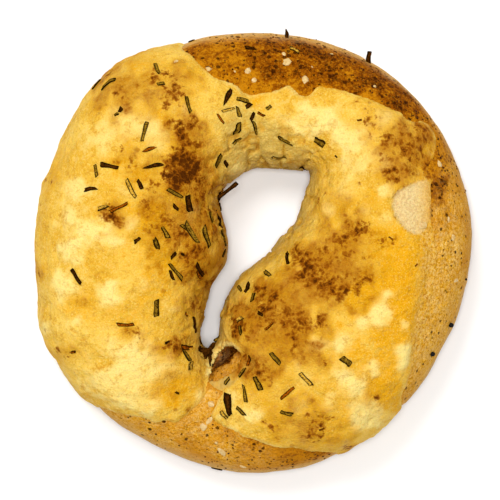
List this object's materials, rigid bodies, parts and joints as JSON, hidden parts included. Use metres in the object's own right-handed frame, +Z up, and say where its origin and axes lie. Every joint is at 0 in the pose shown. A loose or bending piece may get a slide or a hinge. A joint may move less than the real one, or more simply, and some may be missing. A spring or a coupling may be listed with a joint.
{
  "type": "cheese and rosemary bagel",
  "caption": "Baked bagel with an off-round, pear-shaped hole, melted and browned cheese over most of its top, and rosemary leaves, salt flakes and poppy seeds on it.",
  "frame": {"origin": "on the surface the bagel rests on, under the middle of the ring's outline", "axes": "+Z up, out of the cheese-covered top; +X to the side with the bare crust; -Y towards the hole's narrow tip"},
  "size_m": [0.1141, 0.1142, 0.0372],
  "materials": {
    "bread_crust": "satin, baked crust",
    "cheese": "semi-gloss, melted",
    "rosemary_green": "matte, dried leaf",
    "rosemary_pale": "matte, dried leaf",
    "rosemary_charred": "matte, charred leaf",
    "rosemary_rust": "matte, dried leaf",
    "salt": "translucent crystal",
    "poppy_seed": "matte"
  },
  "bodies": {
    "root": {"bread_ring": "bread_crust", "melted_cheese": "cheese", "poppy_seed_1": "poppy_seed", "poppy_seed_2": "poppy_seed", "rosemary_leaf_01": "rosemary_green", "rosemary_leaf_02": "rosemary_green", "rosemary_leaf_03": "rosemary_charred", "rosemary_leaf_04": "rosemary_green", "rosemary_leaf_05": "rosemary_green", "rosemary_leaf_06": "rosemary_green", "rosemary_leaf_07": "rosemary_green", "rosemary_leaf_08": "rosemary_green", "rosemary_leaf_09": "rosemary_rust", "rosemary_leaf_10": "rosemary_green", "rosemary_leaf_11": "rosemary_charred", "rosemary_leaf_12": "rosemary_green", "rosemary_leaf_13": "rosemary_charred", "rosemary_leaf_14": "rosemary_pale", "rosemary_leaf_15": "rosemary_charred", "rosemary_leaf_16": "rosemary_rust", "rosemary_leaf_17": "rosemary_green", "rosemary_leaf_18": "rosemary_charred", "rosemary_leaf_19": "rosemary_charred", "rosemary_leaf_20": "rosemary_charred", "rosemary_leaf_21": "rosemary_green", "rosemary_leaf_22": "rosemary_green", "rosemary_leaf_23": "rosemary_charred", "rosemary_leaf_24": "rosemary_charred", "rosemary_leaf_25": "rosemary_green", "rosemary_leaf_26": "rosemary_green", "rosemary_leaf_27": "rosemary_green", "rosemary_leaf_28": "rosemary_charred", "rosemary_leaf_29": "rosemary_charred", "rosemary_leaf_30": "rosemary_green", "rosemary_leaf_31": "rosemary_rust", "rosemary_leaf_32": "rosemary_rust", "rosemary_leaf_33": "rosemary_green", "rosemary_leaf_34": "rosemary_charred", "rosemary_leaf_35": "rosemary_green", "rosemary_leaf_36": "rosemary_green", "rosemary_leaf_37": "rosemary_green", "rosemary_leaf_38": "rosemary_green", "rosemary_leaf_39": "rosemary_green", "rosemary_leaf_40": "rosemary_pale", "rosemary_leaf_41": "rosemary_green", "rosemary_leaf_42": "rosemary_rust", "rosemary_leaf_43": "rosemary_green", "rosemary_leaf_44": "rosemary_charred", "rosemary_leaf_45": "rosemary_pale", "rosemary_leaf_46": "rosemary_green", "rosemary_leaf_47": "rosemary_green", "salt_flake_1": "salt", "salt_flake_2": "salt", "salt_flake_3": "salt", "salt_flake_4": "salt", "salt_flake_5": "salt", "salt_flake_6": "salt", "salt_flake_7": "salt", "salt_flake_8": "salt", "salt_flake_9": "salt"}
  },
  "joints": []
}
